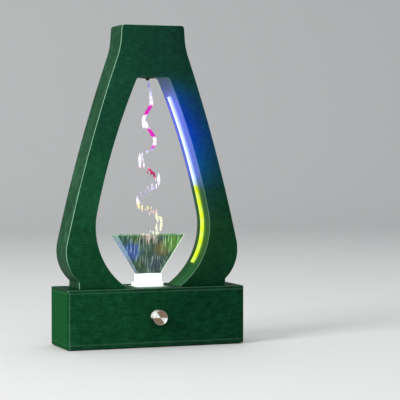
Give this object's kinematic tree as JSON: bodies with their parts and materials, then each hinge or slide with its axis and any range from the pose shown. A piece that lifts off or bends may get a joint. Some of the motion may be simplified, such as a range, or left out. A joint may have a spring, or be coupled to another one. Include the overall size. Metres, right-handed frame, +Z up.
{
  "type": "anti-gravity fountain lamp",
  "caption": "Teardrop arch on a box, wrapped in green leather; a nozzle in the arch drops a lit, wavy thread of water into a clear hopper, with a light strip and a speed knob.",
  "frame": {"origin": "middle of the rest pad's underside, on the surface that the lamp stands on", "axes": "+X to the right as seen from the front, the front with the knob faces -Y, +Z up"},
  "size_m": [0.23, 0.0888, 0.3968],
  "materials": {
    "leather": "satin, fine brushed streaks with a cloudy tone",
    "fibreboard": "raw, matt",
    "felt": "matt felt",
    "zinc_steel": "zinc plated, satin",
    "spun_aluminium": "spun, bright, with fine turning rings",
    "brass": "turned",
    "coil": "enamelled copper winding",
    "black_plastic": "matt",
    "grey_plastic": "matt",
    "clear_acrylic": "clear, polished, wet",
    "milky_acrylic": "milky, lit from below",
    "silicone": "soft, translucent, matt",
    "lit_silicone": "milky, lit: blue-white above and yellow-green below",
    "circuit_green": "solder mask, satin",
    "insulation": "satin",
    "water": "clear, lit violet and white"
  },
  "bodies": {
    "housing": {"base_pad": "felt", "bottom_board": "fibreboard", "base_wall": "fibreboard", "top_board": "fibreboard", "arch_front_board": "fibreboard", "arch_back_board": "fibreboard", "arch_dowel_1": "fibreboard", "arch_dowel_2": "fibreboard", "bottom_edging": "leather", "base_leather": "leather", "top_leather": "leather", "arch_front_leather": "leather", "arch_back_leather": "leather", "arch_outer_leather": "leather", "arch_inner_leather": "leather", "bottom_screw_1": "zinc_steel", "bottom_screw_2": "zinc_steel", "bottom_screw_3": "zinc_steel", "bottom_screw_4": "zinc_steel", "leg_screw_1": "zinc_steel", "leg_screw_2": "zinc_steel", "leg_screw_3": "zinc_steel", "leg_screw_4": "zinc_steel", "control_nut": "zinc_steel", "inlet_nut": "zinc_steel", "nozzle_bracket": "zinc_steel", "bracket_screw_1": "zinc_steel", "bracket_screw_2": "zinc_steel", "drive_coil": "coil", "pump_body": "black_plastic", "pump_cover": "black_plastic", "power_inlet": "black_plastic", "nozzle_grommet": "black_plastic", "water_tank": "grey_plastic", "tank_lid": "grey_plastic", "board_tray": "grey_plastic", "speed_control": "grey_plastic", "hopper_front": "clear_acrylic", "hopper_back": "clear_acrylic", "hopper_left": "clear_acrylic", "hopper_right": "clear_acrylic", "basin_holder": "milky_acrylic", "tank_gasket": "silicone", "hopper_seal": "silicone", "riser_hose": "silicone", "light_sleeve": "lit_silicone", "circuit_board": "circuit_green", "light_tape": "circuit_green", "flash_board": "circuit_green", "inlet_leads": "insulation", "control_leads": "insulation", "pump_leads": "insulation", "flash_leads": "insulation", "leg_leads": "insulation", "water_stream": "water"},
    "knob": {"knob": "spun_aluminium", "control_shaft": "zinc_steel"},
    "impeller": {"pump_impeller": "grey_plastic"},
    "nozzle": {"nozzle": "brass"},
    "plunger": {"drive_plunger": "zinc_steel"}
  },
  "joints": [
    {"name": "knob_turn", "type": "hinge", "parent": "housing", "child": "knob", "pos_m": [0, -0.0381, 0.0375], "axis": [0, 1, 0], "range_deg": [0, 300]},
    {"name": "impeller_spin", "type": "hinge", "parent": "housing", "child": "impeller", "pos_m": [-0.0633, -0.0021, 0.0181], "axis": [1, 0, 0], "continuous": true},
    {"name": "nozzle_swing", "type": "hinge", "parent": "housing", "child": "nozzle", "pos_m": [0, 0, 0.3563], "axis": [0, -1, 0], "range_deg": [-3, 3]},
    {"name": "plunger_slide", "type": "slide", "parent": "housing", "child": "plunger", "axis": [1, 0, 0], "range_m": [-0.0004, 0.0004], "stiffness_N_per_m": 300}
  ],
  "couplings": [
    {"joint": "nozzle_swing", "follows": "plunger_slide", "rad_per_m": 125}
  ]
}
